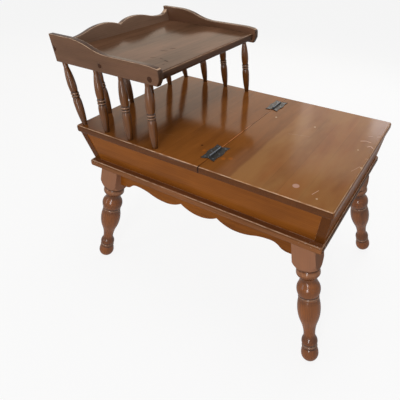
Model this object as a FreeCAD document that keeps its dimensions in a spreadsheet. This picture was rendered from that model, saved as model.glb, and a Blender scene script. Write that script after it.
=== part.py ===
import FreeCAD, Part
import math
import os

import Sketcher

# A step end table: a flared dough box on four splayed turned legs, with a lid that lifts
# at a cross seam and a small gallery shelf raised on spindles behind it.
# +X runs along the table towards the lid, +Z is up, and the floor is Z = 0.
# The front is the lid's end, the near side is -Y and the far side is +Y.

# Driving dimensions in millimetres, and angles in degrees.
SIZES = {
    # top boards
    "top_length": 711.0,
    "top_side_proud": 8.0,
    "top_height": 467.0,
    "top_thick": 19.0,
    "top_round": 5.0,
    "top_corner": 6.0,
    "seam_offset": 38.0,
    "seam_gap": 0.8,
    "lid_rest_gap": 0.4,
    # dough box
    "box_end_inset": 5.0,
    "box_width": 414.0,
    "box_height": 87.0,
    "box_side_angle": 11.3,
    "box_end_angle": 8.3,
    "box_side_thick": 17.0,
    "box_end_thick": 20.0,
    "box_end_proud": 1.5,
    # moulding board under the box
    "plate_end_inset": 12.0,
    "plate_side_proud": 18.0,
    "plate_thick": 19.0,
    "plate_round": 6.0,
    # rail under the seam, and battens under the lid
    "rail_width": 60.0,
    "rail_thick": 19.0,
    "batten_width": 38.0,
    "batten_thick": 14.0,
    "batten_spread": 115.0,
    "batten_rail_gap": 14.0,
    "batten_end_gap": 7.2,
    # legs
    "leg_inset_long": 52.2,
    "leg_inset_cross": 49.7,
    "leg_angle_long": 11.6,
    "leg_angle_cross": 9.9,
    "block_width": 58.0,
    "block_ease": 2.0,
    "sole_radius": 4.0,
    "sole_drop": 1.4,
    "sole_spare": 15.0,
    "foot_radius": 22.0,
    "foot_height": 20.5,
    "foot_groove_radius": 18.2,
    "foot_groove_height": 40.0,
    "ankle_bead_radius": 19.8,
    "ankle_bead_height": 44.5,
    "ankle_groove_radius": 17.6,
    "ankle_groove_height": 50.0,
    "ankle_ring_radius": 20.2,
    "ankle_ring_height": 57.0,
    "ankle_radius": 14.4,
    "ankle_height": 80.0,
    "vase_radius": 28.4,
    "vase_height": 158.0,
    "lip_radius": 25.6,
    "lip_height": 191.0,
    "lip_low_radius": 24.8,
    "lip_low_height": 187.0,
    "ball_groove_radius": 24.2,
    "ball_groove_height": 194.6,
    "ball_radius": 28.8,
    "ball_height": 213.0,
    "neck_radius": 20.4,
    "neck_height": 242.0,
    "collar_radius": 28.8,
    "collar_height": 258.0,
    "collar_top_radius": 26.6,
    "collar_top_height": 270.0,
    "shoulder_height": 313.0,
    "turning_reach": 44.0,
    # aprons
    "apron_setback": 12.0,
    "apron_thick": 19.0,
    "tenon_depth": 8.0,
    "apron_lobe_drop": 61.0,
    "apron_cusp_drop": 43.5,
    "bracket_flat": 21.0,
    "bracket_slope": 43.0,
    "side_cusp": 56.5,
    "side_lobe": 112.0,
    "end_cusp": 36.0,
    "end_lobe": 64.0,
    # gallery boards
    "gallery_rise": 156.5,
    "gallery_side_inset": 16.0,
    "gallery_thick": 16.0,
    "gallery_round": 3.0,
    "gallery_overhang": 36.0,
    "gallery_angle": 5.3,
    "side_back_height": 65.5,
    "side_crest_end": 335.0,
    "side_dip_start": 205.0,
    "side_front_height": 42.5,
    "side_nose_start": 108.0,
    "side_nose_reach": 62.0,
    "side_nose_top": 38.0,
    "side_nose_height": 15.0,
    "side_nose_round": 10.0,
    "side_heel_reach": 70.0,
    "back_cusp_height": 49.0,
    "back_hump_height": 61.5,
    "back_hump": 56.0,
    "back_dip_height": 45.0,
    "back_dip": 172.0,
    "back_end_height": 57.0,
    # shelf board
    "shelf_rise": 7.0,
    "shelf_thick": 19.0,
    "shelf_front_reach": 71.0,
    "shelf_round": 7.0,
    # spindles
    "spindle_back_inset": 54.5,
    "spindle_pitch": 80.0,
    "spindle_side_inset": 15.5,
    "spindle_rake": 7.4,
    "spindle_back_rake": 24.0,
    "spindle_corner_rake": 35.0,
    "socket_depth": 12.0,
    "spindle_foot_radius": 5.8,
    "spindle_low_radius": 10.4,
    "spindle_low_height": 58.0,
    "spindle_waist_radius": 8.6,
    "spindle_waist_height": 72.0,
    "spindle_bead_radius": 10.0,
    "spindle_bead_height": 76.0,
    "spindle_bead_pitch": 6.4,
    "spindle_groove_radius": 8.0,
    "spindle_high_waist_height": 87.0,
    "spindle_high_radius": 10.3,
    "spindle_high_height": 106.0,
    "spindle_top_radius": 6.0,
    "spindle_taper_height": 148.0,
    # buttons over the gallery screws
    "button_radius": 6.5,
    "button_depth": 5.0,
    "button_dome": 2.6,
    "button_rear_inset": 5.5,
    "button_rear_rise": 33.0,
    "button_mid_inset": 154.0,
    "button_front_inset": 18.0,
    "button_front_rise": 13.0,
    # hinges
    "hinge_inset": 72.0,
    "leaf_thick": 1.8,
    "leaf_tip_reach": 18.5,
    "leaf_tip_spread": 34.8,
    "leaf_tip_inner_reach": 9.0,
    "leaf_tip_inner_spread": 33.0,
    "leaf_root_spread": 28.5,
    "leaf_waist_reach": 16.8,
    "leaf_waist_spread": 20.0,
    "leaf_lobe_reach": 20.0,
    "knuckle_half": 24.0,
    "knuckle_radius": 2.8,
    "knuckle_lift": 0.3,
    "knuckle_gap": 0.3,
    "pin_radius": 1.4,
    "pin_clearance": 0.05,
    "leaf_screw_reach": 11.2,
    "leaf_screw_spread": 26.5,
    # screws: heads are countersunk at 45 degrees
    "hinge_screw_head": 3.0,
    "hinge_screw_shank": 1.4,
    "hinge_screw_length": 14.0,
    "wood_screw_head": 4.5,
    "wood_screw_shank": 2.2,
    "batten_screw_length": 24.0,
    "rail_screw_length": 30.0,
    "shelf_screw_length": 38.0,
    "box_screw_length": 44.0,
    "leg_screw_length": 58.0,
    "leg_screw_inset": 8.0,
    "leg_screw_pitch": 20.0,
    "slot_width": 0.8,
    "slot_depth": 0.7,
    "screw_sink": 0.3,
    # assembly
    "fit_gap": 0.1,
}

KNUCKLES = 5
SIDE_SPINDLES = 4
BACK_SPINDLES = 4
ROUND = "round"
SHARP = "sharp"
SIDES = {"near": -1, "far": 1}
ENDS = {"back": -1, "front": 1}


class Size:
    """A number, with the spreadsheet expression that gives it."""

    def __init__(self, value, text):
        self.value = value
        self.text = text

    def __float__(self):
        return self.value

    def __add__(self, other):
        return Size(self.value + float(other), f"({self.text} + {written(other)})")

    def __sub__(self, other):
        return Size(self.value - float(other), f"({self.text} - {written(other)})")

    def __mul__(self, other):
        return Size(self.value * float(other), f"({self.text} * {written(other)})")

    def __truediv__(self, other):
        return Size(self.value / float(other), f"({self.text} / {written(other)})")

    def __neg__(self):
        return Size(-self.value, f"(-{self.text})")


def written(number):
    """Give the expression of a size, or a plain number as text."""
    return number.text if isinstance(number, Size) else repr(number)


def tangent(angle):
    """Give the tangent of an angle size in degrees."""
    return Size(math.tan(math.radians(angle.value)), f"tan({angle.text})")


doc = FreeCAD.newDocument("lift_top_end_table")
sheet = doc.addObject("Spreadsheet::Sheet", "sizes")
for row, (alias, number) in enumerate(SIZES.items(), start=1):
    sheet.set(f"A{row}", alias)
    sheet.set(f"B{row}", str(number))
    sheet.setAlias(f"B{row}", alias)
doc.recompute()


class Sizes:
    """Every driving dimension by name, read back from the spreadsheet."""


d = Sizes()
for alias in SIZES:
    setattr(d, alias, Size(float(sheet.get(alias)), f"sizes.{alias}"))

NOTHING = Size(0.0, "0")
nodes = []


# ---------------------------------------------------------------- helpers

def bind(thing, **properties):
    """Tie properties of an object to spreadsheet expressions."""
    for name, size in properties.items():
        thing.setExpression(name, size.text)
    return thing


def place(thing, x=NOTHING, y=NOTHING, z=NOTHING, turn=None):
    """Turn an object, then tie its position to spreadsheet expressions."""
    thing.Placement = FreeCAD.Placement(spot(x, y, z), turn or FreeCAD.Rotation())
    thing.setExpression("Placement.Base.x", x.text)
    thing.setExpression("Placement.Base.y", y.text)
    thing.setExpression("Placement.Base.z", z.text)
    return thing


def spot(x, y, z):
    """Give a point as a vector of plain numbers."""
    return FreeCAD.Vector(float(x), float(y), float(z))


def node(name, thing):
    """Name an object as one finished sub-part."""
    thing.Label = name
    nodes.append(thing)
    return thing


def box(name, length, width, height):
    """Make a rectangular block."""
    return bind(doc.addObject("Part::Box", name), Length=length, Width=width, Height=height)


def cylinder(name, radius, height):
    """Make a round bar."""
    return bind(doc.addObject("Part::Cylinder", name), Radius=radius, Height=height)


def cone(name, bottom_radius, top_radius, height):
    """Make a cone."""
    made = doc.addObject("Part::Cone", name)
    return bind(made, Radius1=bottom_radius, Radius2=top_radius, Height=height)


def fuse(name, pieces):
    """Join pieces into one solid."""
    joined = doc.addObject("Part::MultiFuse", name)
    joined.Shapes = pieces
    return joined


def cut(name, base, tool):
    """Cut one object out of another."""
    made = doc.addObject("Part::Cut", name)
    made.Base = base
    made.Tool = tool
    return made


def together(name, things):
    """Hold several cutting tools as one."""
    group = doc.addObject("Part::Compound", name)
    group.Links = things
    return group


def copies(name, master, placements):
    """Repeat a master object at each placement, as separate solids of one object."""
    doc.recompute()
    shapes = []
    for placement in placements:
        shape = master.Shape.copy()
        shape.Placement = placement.multiply(shape.Placement)
        shapes.append(shape)
    group = doc.addObject("Part::Feature", name)
    group.Shape = Part.makeCompound(shapes)
    return group


def origin_plane(body, role):
    """Find one of a body's own origin planes."""
    return next(part for part in body.Origin.OriginFeatures if part.Role == role)


def new_sketch(body, role, name):
    """Start a sketch on one of the body's origin planes."""
    sketch = body.newObject("Sketcher::SketchObject", name)
    sketch.AttachmentSupport = [(origin_plane(body, role), "")]
    sketch.MapMode = "FlatFace"
    return sketch


def fix_point(sketch, curve, end, u, v):
    """Hold one end of a curve at the position (u, v) of the sketch."""
    axes = (("DistanceX", u, -2), ("DistanceY", v, -1))
    for kind, size, axis in axes:
        if abs(float(size)) < 1e-9:
            sketch.addConstraint(Sketcher.Constraint("PointOnObject", curve, end, axis))
        else:
            made = Sketcher.Constraint(kind, -1, 1, curve, end, float(size))
            index = sketch.addConstraint(made)
            sketch.setExpression(f"Constraints[{index}]", size.text)


def tangent_arc(start, finish, along, at_start):
    """Arc between two points whose tangent at one of them runs along one sketch axis.

    Its centre lies square to that axis from the tangent point, at the distance that makes
    both points equally far from it. Returns the arc and the ends that start and finish use.
    """
    held, other = (start, finish) if at_start else (finish, start)
    du = other[0] - held[0]
    dv = other[1] - held[1]
    reach = (du * du + dv * dv) / (2.0 * (dv if along == "u" else du))
    centre = (held[0], held[1] + reach) if along == "u" else (held[0] + reach, held[1])
    first = math.atan2(start[1] - centre[1], start[0] - centre[0])
    last = math.atan2(finish[1] - centre[1], finish[0] - centre[0])
    circle = Part.Circle(FreeCAD.Vector(*centre, 0), FreeCAD.Vector(0, 0, 1), abs(reach))
    turn = (last - first) % (2.0 * math.pi)
    if turn <= math.pi:
        return Part.ArcOfCircle(circle, first, first + turn), 1, 2
    return Part.ArcOfCircle(circle, last, last + 2.0 * math.pi - turn), 2, 1


def outline(sketch, stations, along="u"):
    """Draw a closed outline through stations (u, v, kind), all tied to the spreadsheet.

    At a round station the outline runs along the given sketch axis; two round stations are
    joined by an ogee of two arcs that meet halfway, a round and a sharp one by a single arc,
    and two sharp ones by a straight line.
    """
    curves = []
    for here, there in zip(stations, stations[1:] + stations[:1]):
        curves.extend(draw_step(sketch, here, there, along))
    for before, after in zip(curves, curves[1:] + curves[:1]):
        join = Sketcher.Constraint("Coincident", before[0], before[2], after[0], after[1])
        sketch.addConstraint(join)
    for curve, first, _, u, v in curves:
        fix_point(sketch, curve, first, u, v)


def draw_step(sketch, here, there, along):
    """Draw the curves from one station of an outline to the next."""
    level = 1 if along == "u" else 0
    flat = abs(float(here[level]) - float(there[level])) < 1e-9
    if flat or (here[2] == SHARP and there[2] == SHARP):
        line = Part.LineSegment(spot(here[0], here[1], 0), spot(there[0], there[1], 0))
        return [(sketch.addGeometry(line), 1, 2, here[0], here[1])]
    if here[2] == ROUND and there[2] == ROUND:
        middle = ((here[0] + there[0]) / 2, (here[1] + there[1]) / 2, SHARP)
        return (draw_step(sketch, here, middle, along)
                + draw_step(sketch, middle, there, along))
    start = (float(here[0]), float(here[1]))
    finish = (float(there[0]), float(there[1]))
    arc, first, last = tangent_arc(start, finish, along, here[2] == ROUND)
    curve = sketch.addGeometry(arc)
    held = first if here[2] == ROUND else last
    line_up = "Vertical" if along == "u" else "Horizontal"
    sketch.addConstraint(Sketcher.Constraint(line_up, curve, 3, curve, held))
    return [(curve, first, last, here[0], here[1])]


def rectangle(u_low, v_low, u_high, v_high):
    """Give the four sharp stations of a rectangle."""
    return [(u_low, v_low, SHARP), (u_high, v_low, SHARP),
            (u_high, v_high, SHARP), (u_low, v_high, SHARP)]


def padded(name, role, stations, thick, along="u", start=NOTHING):
    """Make a body by padding one outline off an origin plane, or off a place beside it."""
    body = doc.addObject("PartDesign::Body", name)
    sketch = new_sketch(body, role, f"{name}_outline")
    sketch.setExpression("AttachmentOffset.Base.z", start.text)
    outline(sketch, stations, along)
    pad = body.newObject("PartDesign::Pad", f"{name}_pad")
    pad.Profile = sketch
    bind(pad, Length=thick)
    sketch.Visibility = False
    doc.recompute()
    return body


def soften(body, name, radius, wanted):
    """Round the edges of a body's last feature that the given test accepts."""
    base = body.Tip
    found = [f"Edge{number}" for number, edge in enumerate(base.Shape.Edges, start=1)
             if wanted(edge)]
    rounding = body.newObject("PartDesign::Fillet", name)
    rounding.Base = (base, found)
    bind(rounding, Radius=radius)
    doc.recompute()
    return rounding


def spun(body, name, kind, stations):
    """Spin a half profile about the body's own Z axis, adding or cutting."""
    sketch = new_sketch(body, "XZ_Plane", f"{name}_profile")
    outline(sketch, stations, "v")
    feature = body.newObject(f"PartDesign::{kind}", name)
    feature.Profile = sketch
    feature.ReferenceAxis = (sketch, ["V_Axis"])
    feature.Angle = 360.0
    sketch.Visibility = False
    doc.recompute()
    return feature


def rise_along(edge, axis):
    """Tell how far an edge runs along one axis."""
    ends = [vertex.Point for vertex in edge.Vertexes]
    return abs(ends[0][axis] - ends[-1][axis])


def upright(edge):
    """Accept straight edges that run along the body's Z axis."""
    return rise_along(edge, 2) > 1.0 and rise_along(edge, 0) + rise_along(edge, 1) < 1e-6


def pointing(direction):
    """Give the rotation that turns +Z to a direction."""
    return FreeCAD.Rotation(FreeCAD.Vector(0, 0, 1), direction)


def screw(name, head, shank, length, spare=NOTHING, slotted=True):
    """Make a countersunk screw, head up at Z = 0; spare widens it into its own hole."""
    sink = cone(f"{name}_head", shank + spare, head + spare, head - shank)
    place(sink, z=-(head - shank))
    stem = place(cylinder(f"{name}_stem", shank + spare, length + spare),
                 z=-(length + spare))
    pieces = [sink, stem]
    if float(spare) > 0.0:
        pieces.append(cylinder(f"{name}_way", head + spare, d.top_thick))
    body = fuse(f"{name}_body", pieces)
    if not slotted:
        return body
    groove = box(f"{name}_slot", head * 2, d.slot_width, d.slot_depth)
    place(groove, -head, -d.slot_width / 2, -d.slot_depth)
    return cut(f"{name}_master", body, groove)


# ---------------------------------------------------------------- worked-out places

X_AXIS = FreeCAD.Vector(1, 0, 0)
UP = FreeCAD.Vector(0, 0, 1)
DOWN = -UP

plate_width = d.box_width + d.plate_side_proud * 2
top_width = plate_width + d.top_side_proud * 2
plate_height = d.top_height - d.top_thick - d.box_height
side_flare = tangent(d.box_side_angle)
end_flare = tangent(d.box_end_angle)
plate_floor = plate_height - d.plate_thick
splay_long = tangent(d.leg_angle_long)
splay_cross = tangent(d.leg_angle_cross)
block_half = d.block_width / 2
plate_length = d.top_length - d.plate_end_inset * 2
box_length = plate_length - d.box_end_inset * 2
leg_top_long = plate_length / 2 - d.leg_inset_long
leg_top_cross = plate_width / 2 - d.leg_inset_cross
leg_stand_long = leg_top_long + plate_floor * splay_long
leg_stand_cross = leg_top_cross + plate_floor * splay_cross
gallery_floor = d.top_height + d.gallery_rise
gallery_width = top_width - d.gallery_side_inset * 2
gallery_half = gallery_width / 2
gallery_back = d.top_length / 2 + d.gallery_overhang
spindle_back = gallery_back - d.spindle_back_inset
spindle_spread = top_width - d.spindle_side_inset * 2
lean = tangent(d.gallery_angle)
shelf_floor = gallery_floor + d.shelf_rise
lid_floor = d.top_height - d.top_thick + d.lid_rest_gap
pin_rise = d.knuckle_radius + d.knuckle_lift


def middle_shift():
    """Give the place of the top's middle that centres the whole table on X = 0."""
    slant = math.sqrt(1.0 + float(splay_long) ** 2 + float(splay_cross) ** 2)
    front = leg_stand_long - d.foot_height / slant * splay_long + d.foot_radius
    back = gallery_back + d.side_back_height * lean
    return (back - front) / 2


middle = middle_shift()
seam = middle + d.seam_offset
batten_start = seam + d.rail_width / 2 + d.batten_rail_gap
end_lean = (d.box_height - d.batten_thick) * end_flare
batten_end = middle + box_length / 2 - d.box_end_thick + end_lean - d.batten_end_gap
batten_length = batten_end - batten_start


# ---------------------------------------------------------------- box, plate and tops

def make_base_plate(tools):
    """Moulding board that carries the box: a flat board with both its arrises rounded."""
    half_length = plate_length / 2
    half_width = plate_width / 2
    body = padded("base_plate_board", "XY_Plane",
                  rectangle(-half_length, -half_width, half_length, half_width),
                  d.plate_thick)
    soften(body, "base_plate_corners", d.top_corner, upright)
    soften(body, "base_plate_arrises", d.plate_round, lambda edge: not upright(edge))
    place(body, middle, NOTHING, plate_floor)
    node("base_plate", cut("base_plate_drilled", body, tools))


def tapered(name, low, high):
    """Board with level ends: low and high give its x and y ranges at the bottom and top.

    The wedge's own Y axis runs up and its Z axis runs towards -Y of the table.
    """
    board = doc.addObject("Part::Wedge", name)
    bind(board, Xmin=low[0], Xmax=low[1], Zmin=-low[3], Zmax=-low[2], Ymin=NOTHING,
         X2min=high[0], X2max=high[1], Z2min=-high[3], Z2max=-high[2], Ymax=d.box_height)
    return place(board, middle, NOTHING, plate_height, FreeCAD.Rotation(X_AXIS, 90))


def make_box_sides(tools):
    """Two flared side boards, set between the end boards."""
    inner_low = box_length / 2 - d.box_end_thick
    inner_high = inner_low + d.box_height * end_flare
    outer_low = d.box_width / 2
    outer_high = outer_low + d.box_height * side_flare
    for side, sign in SIDES.items():
        low = sorted((outer_low * sign, (outer_low - d.box_side_thick) * sign), key=float)
        high = sorted((outer_high * sign, (outer_high - d.box_side_thick) * sign), key=float)
        board = tapered(f"box_side_{side}_board", (-inner_low, inner_low, *low),
                        (-inner_high, inner_high, *high))
        node(f"box_side_{side}", cut(f"box_side_{side}_drilled", board, tools))


def make_box_ends(tools):
    """Two flared end boards, a little proud of the side boards they close."""
    outer_low = box_length / 2
    outer_high = outer_low + d.box_height * end_flare
    wide_low = d.box_width / 2 + d.box_end_proud
    wide_high = wide_low + d.box_height * side_flare
    for end, sign in ENDS.items():
        low = sorted((outer_low * sign, (outer_low - d.box_end_thick) * sign), key=float)
        high = sorted((outer_high * sign, (outer_high - d.box_end_thick) * sign), key=float)
        board = tapered(f"box_end_{end}_board", (*low, -wide_low, wide_low),
                        (*high, -wide_high, wide_high))
        node(f"box_end_{end}", cut(f"box_end_{end}_drilled", board, tools))


def make_seam_rail(tools):
    """Flat rail under the seam, cut to the flare of the side boards at both ends."""
    low_half = d.box_width / 2 - d.box_side_thick + (d.box_height - d.rail_thick) * side_flare
    high_half = low_half + d.rail_thick * side_flare
    low_x = d.seam_offset - d.rail_width / 2
    high_x = d.seam_offset + d.rail_width / 2
    rail = doc.addObject("Part::Wedge", "seam_rail_board")
    bind(rail, Xmin=low_x, Xmax=high_x, Zmin=-low_half, Zmax=low_half, Ymin=NOTHING,
         X2min=low_x, X2max=high_x, Z2min=-high_half, Z2max=high_half, Ymax=d.rail_thick)
    place(rail, middle, NOTHING, d.top_height - d.top_thick - d.rail_thick,
          FreeCAD.Rotation(X_AXIS, 90))
    node("seam_rail", cut("seam_rail_drilled", rail, tools))


def top_board(name, x_low, x_high, z_low, outer):
    """Top board between two x places, rounded on every edge but the seam's."""
    half_width = top_width / 2
    body = padded(f"{name}_board", "XY_Plane",
                  rectangle(x_low, -half_width, x_high, half_width), d.top_height - z_low)
    outer_x = float(outer)

    def at_outer_end(edge):
        return abs(edge.CenterOfMass.x - outer_x) < float(d.top_corner)

    def away_from_seam(edge):
        level = rise_along(edge, 2) < 1e-6
        along_seam = rise_along(edge, 1) > float(half_width) and not at_outer_end(edge)
        return level and not along_seam

    soften(body, f"{name}_corners", d.top_corner,
           lambda edge: upright(edge) and at_outer_end(edge))
    soften(body, f"{name}_arrises", d.top_round, away_from_seam)
    return place(body, middle, NOTHING, z_low)


def make_tops(fixed_tools, lid_tools):
    """The fixed top behind the seam and the lid in front of it."""
    half_length = d.top_length / 2
    half_gap = d.seam_gap / 2
    fixed = top_board("top_fixed", -half_length, d.seam_offset - half_gap,
                      d.top_height - d.top_thick, -half_length)
    node("top_fixed", cut("top_fixed_drilled", fixed, fixed_tools))
    lid = top_board("lid", d.seam_offset + half_gap, half_length, lid_floor, half_length)
    node("lid", cut("lid_drilled", lid, lid_tools))


def make_battens(tools):
    """Two battens screwed under the lid along its length."""
    for side, sign in SIDES.items():
        bar = box(f"lid_batten_{side}_bar", batten_length, d.batten_width, d.batten_thick)
        place(bar, batten_start, d.batten_spread * sign - d.batten_width / 2,
              lid_floor - d.batten_thick)
        node(f"lid_batten_{side}", cut(f"lid_batten_{side}_drilled", bar, tools))


# ---------------------------------------------------------------- base

def apron_stations(cusp, lobe, inner_top, splay):
    """Scalloped outline of an apron, from its middle: a lobe, a cusp, an ogee and a bracket.

    The ends slope with the legs and reach a tenon's depth into the blocks.
    """
    low = -d.apron_lobe_drop
    high = -d.apron_cusp_drop
    inner_low = inner_top + d.apron_lobe_drop * splay
    flat = inner_low - d.bracket_flat
    hump = flat - d.bracket_slope
    half = [(cusp, high, SHARP), (lobe, low, ROUND), (hump, high, ROUND), (flat, low, ROUND),
            (inner_low + d.tenon_depth, low, SHARP), (inner_top + d.tenon_depth, NOTHING, SHARP)]
    mirrored = [(-u, v, kind) for u, v, kind in reversed(half)]
    return [(NOTHING, low, ROUND)] + half + mirrored


def make_aprons():
    """Four scalloped aprons between the leg blocks."""
    made = {}
    side_inner = leg_top_long - block_half
    end_inner = leg_top_cross - block_half
    side_face = leg_top_cross + block_half - d.apron_setback
    end_face = leg_top_long + block_half - d.apron_setback
    side_run = apron_stations(d.side_cusp, d.side_lobe, side_inner, splay_long)
    end_run = apron_stations(d.end_cusp, d.end_lobe, end_inner, splay_cross)
    for side, sign in SIDES.items():
        body = padded(f"apron_{side}", "XZ_Plane", side_run, d.apron_thick)
        inner = side_face if sign > 0 else d.apron_thick - side_face
        made[side] = place(body, middle, inner, plate_floor)
    for end, sign in ENDS.items():
        body = padded(f"apron_{end}", "YZ_Plane", end_run, d.apron_thick)
        inner = end_face - d.apron_thick if sign > 0 else -end_face
        made[end] = place(body, middle + inner, NOTHING, plate_floor)
    for name, body in made.items():
        node(f"apron_{name}", body)
    return made


def leg_stations():
    """Outline of the waste that turning takes off a square leg, from the sole upwards."""
    reach = d.turning_reach
    return [
        (reach, -d.sole_spare, SHARP),
        (d.sole_radius, -d.sole_spare, SHARP),
        (d.sole_radius, -d.sole_drop, SHARP),
        (d.foot_radius, d.foot_height, ROUND),
        (d.foot_groove_radius, d.foot_groove_height, SHARP),
        (d.ankle_bead_radius, d.ankle_bead_height, ROUND),
        (d.ankle_groove_radius, d.ankle_groove_height, SHARP),
        (d.ankle_ring_radius, d.ankle_ring_height, ROUND),
        (d.ankle_radius, d.ankle_height, ROUND),
        (d.vase_radius, d.vase_height, ROUND),
        (d.lip_low_radius, d.lip_low_height, SHARP),
        (d.lip_radius, d.lip_height, ROUND),
        (d.ball_groove_radius, d.ball_groove_height, SHARP),
        (d.ball_radius, d.ball_height, ROUND),
        (d.neck_radius, d.neck_height, ROUND),
        (d.collar_radius, d.collar_height, ROUND),
        (d.collar_top_radius, d.collar_top_height, SHARP),
        (reach, d.shoulder_height, ROUND),
    ]


def leg_direction(end_sign, side_sign):
    """Give the direction up a leg's axis."""
    return FreeCAD.Vector(-end_sign * float(splay_long), -side_sign * float(splay_cross), 1.0)


def leg_turn(end_sign, side_sign):
    """Turn a leg to its splay with its faces kept square to the table's length."""
    up = leg_direction(end_sign, side_sign)
    across = up.cross(X_AXIS)
    along = across.cross(up)
    return FreeCAD.Rotation(along, across, up, "ZXY")


def make_legs(aprons, tools):
    """Four legs: a square billet, turned below its block, splayed and cut level."""
    slant = leg_direction(1, 1).Length
    billet_length = d.sole_spare + plate_floor * slant + d.block_width / 2
    room = box("leg_room", d.top_length * 2, top_width * 2, plate_floor)
    place(room, -d.top_length, -top_width)
    half = block_half
    for end, end_sign in ENDS.items():
        for side, side_sign in SIDES.items():
            name = f"leg_{end}_{side}"
            body = padded(f"{name}_turning", "XY_Plane", rectangle(-half, -half, half, half),
                          billet_length, start=-d.sole_spare)
            soften(body, f"{name}_easing", d.block_ease, upright)
            before = body.Shape.Volume
            spun(body, f"{name}_groove", "Groove", leg_stations())
            if body.Shape.Volume > before * 0.95:
                raise ValueError(f"{name}: the turning took nothing off")
            place(body, middle + leg_stand_long * end_sign,
                  leg_stand_cross * side_sign, NOTHING, leg_turn(end_sign, side_sign))
            level = doc.addObject("Part::Common", f"{name}_level")
            level.Base = body
            level.Tool = room
            waste = together(f"{name}_waste", [aprons[side], aprons[end], tools])
            node(name, cut(f"{name}_jointed", level, waste))


# ---------------------------------------------------------------- gallery

def make_gallery_sides(tools):
    """Two shaped side boards of the gallery, near and far."""
    crest = d.side_back_height
    dip = d.side_front_height
    back = -gallery_back
    stations = [
        (back, NOTHING, SHARP),
        (back - crest * lean, crest, SHARP),
        (-d.side_crest_end, crest, ROUND),
        (-d.side_dip_start, dip, ROUND),
        (-d.side_nose_start, dip, ROUND),
        (-d.side_nose_reach, d.side_nose_top, SHARP),
        (-d.side_nose_reach, d.side_nose_height, SHARP),
        (-d.side_heel_reach, NOTHING, SHARP),
    ]
    nose = -float(d.side_nose_reach)

    def at_nose(edge):
        return rise_along(edge, 1) > 1.0 and abs(edge.CenterOfMass.x - nose) < 1e-3

    for side, sign in SIDES.items():
        body = padded(f"gallery_side_{side}_board", "XZ_Plane", stations, d.gallery_thick)
        soften(body, f"gallery_side_{side}_nose", d.side_nose_round, at_nose)
        soften(body, f"gallery_side_{side}_rounding", d.gallery_round,
               lambda edge: rise_along(edge, 1) < 1e-6)
        face = gallery_half if sign > 0 else d.gallery_thick - gallery_half
        place(body, middle, face, gallery_floor)
        node(f"gallery_side_{side}", cut(f"gallery_side_{side}_drilled", body, tools))


def back_stations():
    """Outline of the back board, mirrored about a cusp between two humps."""
    half_width = gallery_half - d.gallery_thick
    half = [(half_width, NOTHING, SHARP), (half_width, d.back_end_height, SHARP),
            (d.back_dip, d.back_dip_height, ROUND), (d.back_hump, d.back_hump_height, ROUND)]
    mirrored = [(-u, v, kind) for u, v, kind in reversed(half)]
    return half + [(NOTHING, d.back_cusp_height, SHARP)] + mirrored


def lean_back(thing, across=NOTHING):
    """Stand a piece at the gallery's back, leaning as the side boards' back edges do."""
    turn = FreeCAD.Rotation(FreeCAD.Vector(0, 1, 0), -float(d.gallery_angle))
    return place(thing, middle - gallery_back, across, gallery_floor, turn)


def make_gallery_back(tools):
    """Shaped back board, leaning with the back edges of the side boards."""
    body = padded("gallery_back_board", "YZ_Plane", back_stations(), d.gallery_thick)
    soften(body, "gallery_back_rounding", d.gallery_round,
           lambda edge: rise_along(edge, 0) < 1e-6 and edge.CenterOfMass.z > 1.0
           and rise_along(edge, 2) < float(d.back_dip_height))
    lean_back(body)
    node("gallery_back", cut("gallery_back_drilled", body, tools))


def make_shelf(tools):
    """Shelf board between the sides, its back edge cut to the back board's lean."""
    back = -gallery_back + d.gallery_thick / 2
    half_width = gallery_half - d.gallery_thick
    body = padded("shelf_blank", "XY_Plane",
                  rectangle(back, -half_width, -d.shelf_front_reach, half_width),
                  d.shelf_thick)
    front = -float(d.shelf_front_reach)
    soften(body, "shelf_nosing", d.shelf_round,
           lambda edge: rise_along(edge, 1) > 1.0 and abs(edge.CenterOfMass.x - front) < 1e-6)
    place(body, middle, NOTHING, shelf_floor)
    # the cutter is wider than the shelf, so that no side of it lies in a side of the shelf
    behind = box("shelf_back_line", d.gallery_thick, gallery_width, d.back_end_height)
    lean_back(behind, -gallery_half)
    fitted = cut("shelf_fitted", body, behind)
    node("shelf_board", cut("shelf_drilled", fitted, tools))


def spindle_stations(length):
    """Half profile of a spindle, from the end of its foot tenon to the end of its top one."""
    bead = d.spindle_bead_height
    groove = bead + d.spindle_bead_pitch / 2
    second = bead + d.spindle_bead_pitch
    return [
        (NOTHING, -d.socket_depth, SHARP),
        (d.spindle_foot_radius, -d.socket_depth, SHARP),
        (d.spindle_foot_radius, NOTHING, SHARP),
        (d.spindle_low_radius, d.spindle_low_height, ROUND),
        (d.spindle_waist_radius, d.spindle_waist_height, SHARP),
        (d.spindle_bead_radius, bead, ROUND),
        (d.spindle_groove_radius, groove, SHARP),
        (d.spindle_bead_radius, second, ROUND),
        (d.spindle_waist_radius, d.spindle_high_waist_height, SHARP),
        (d.spindle_high_radius, d.spindle_high_height, ROUND),
        (d.spindle_top_radius, d.spindle_taper_height, SHARP),
        (d.spindle_top_radius, length + d.socket_depth, SHARP),
        (NOTHING, length + d.socket_depth, SHARP),
    ]


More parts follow.
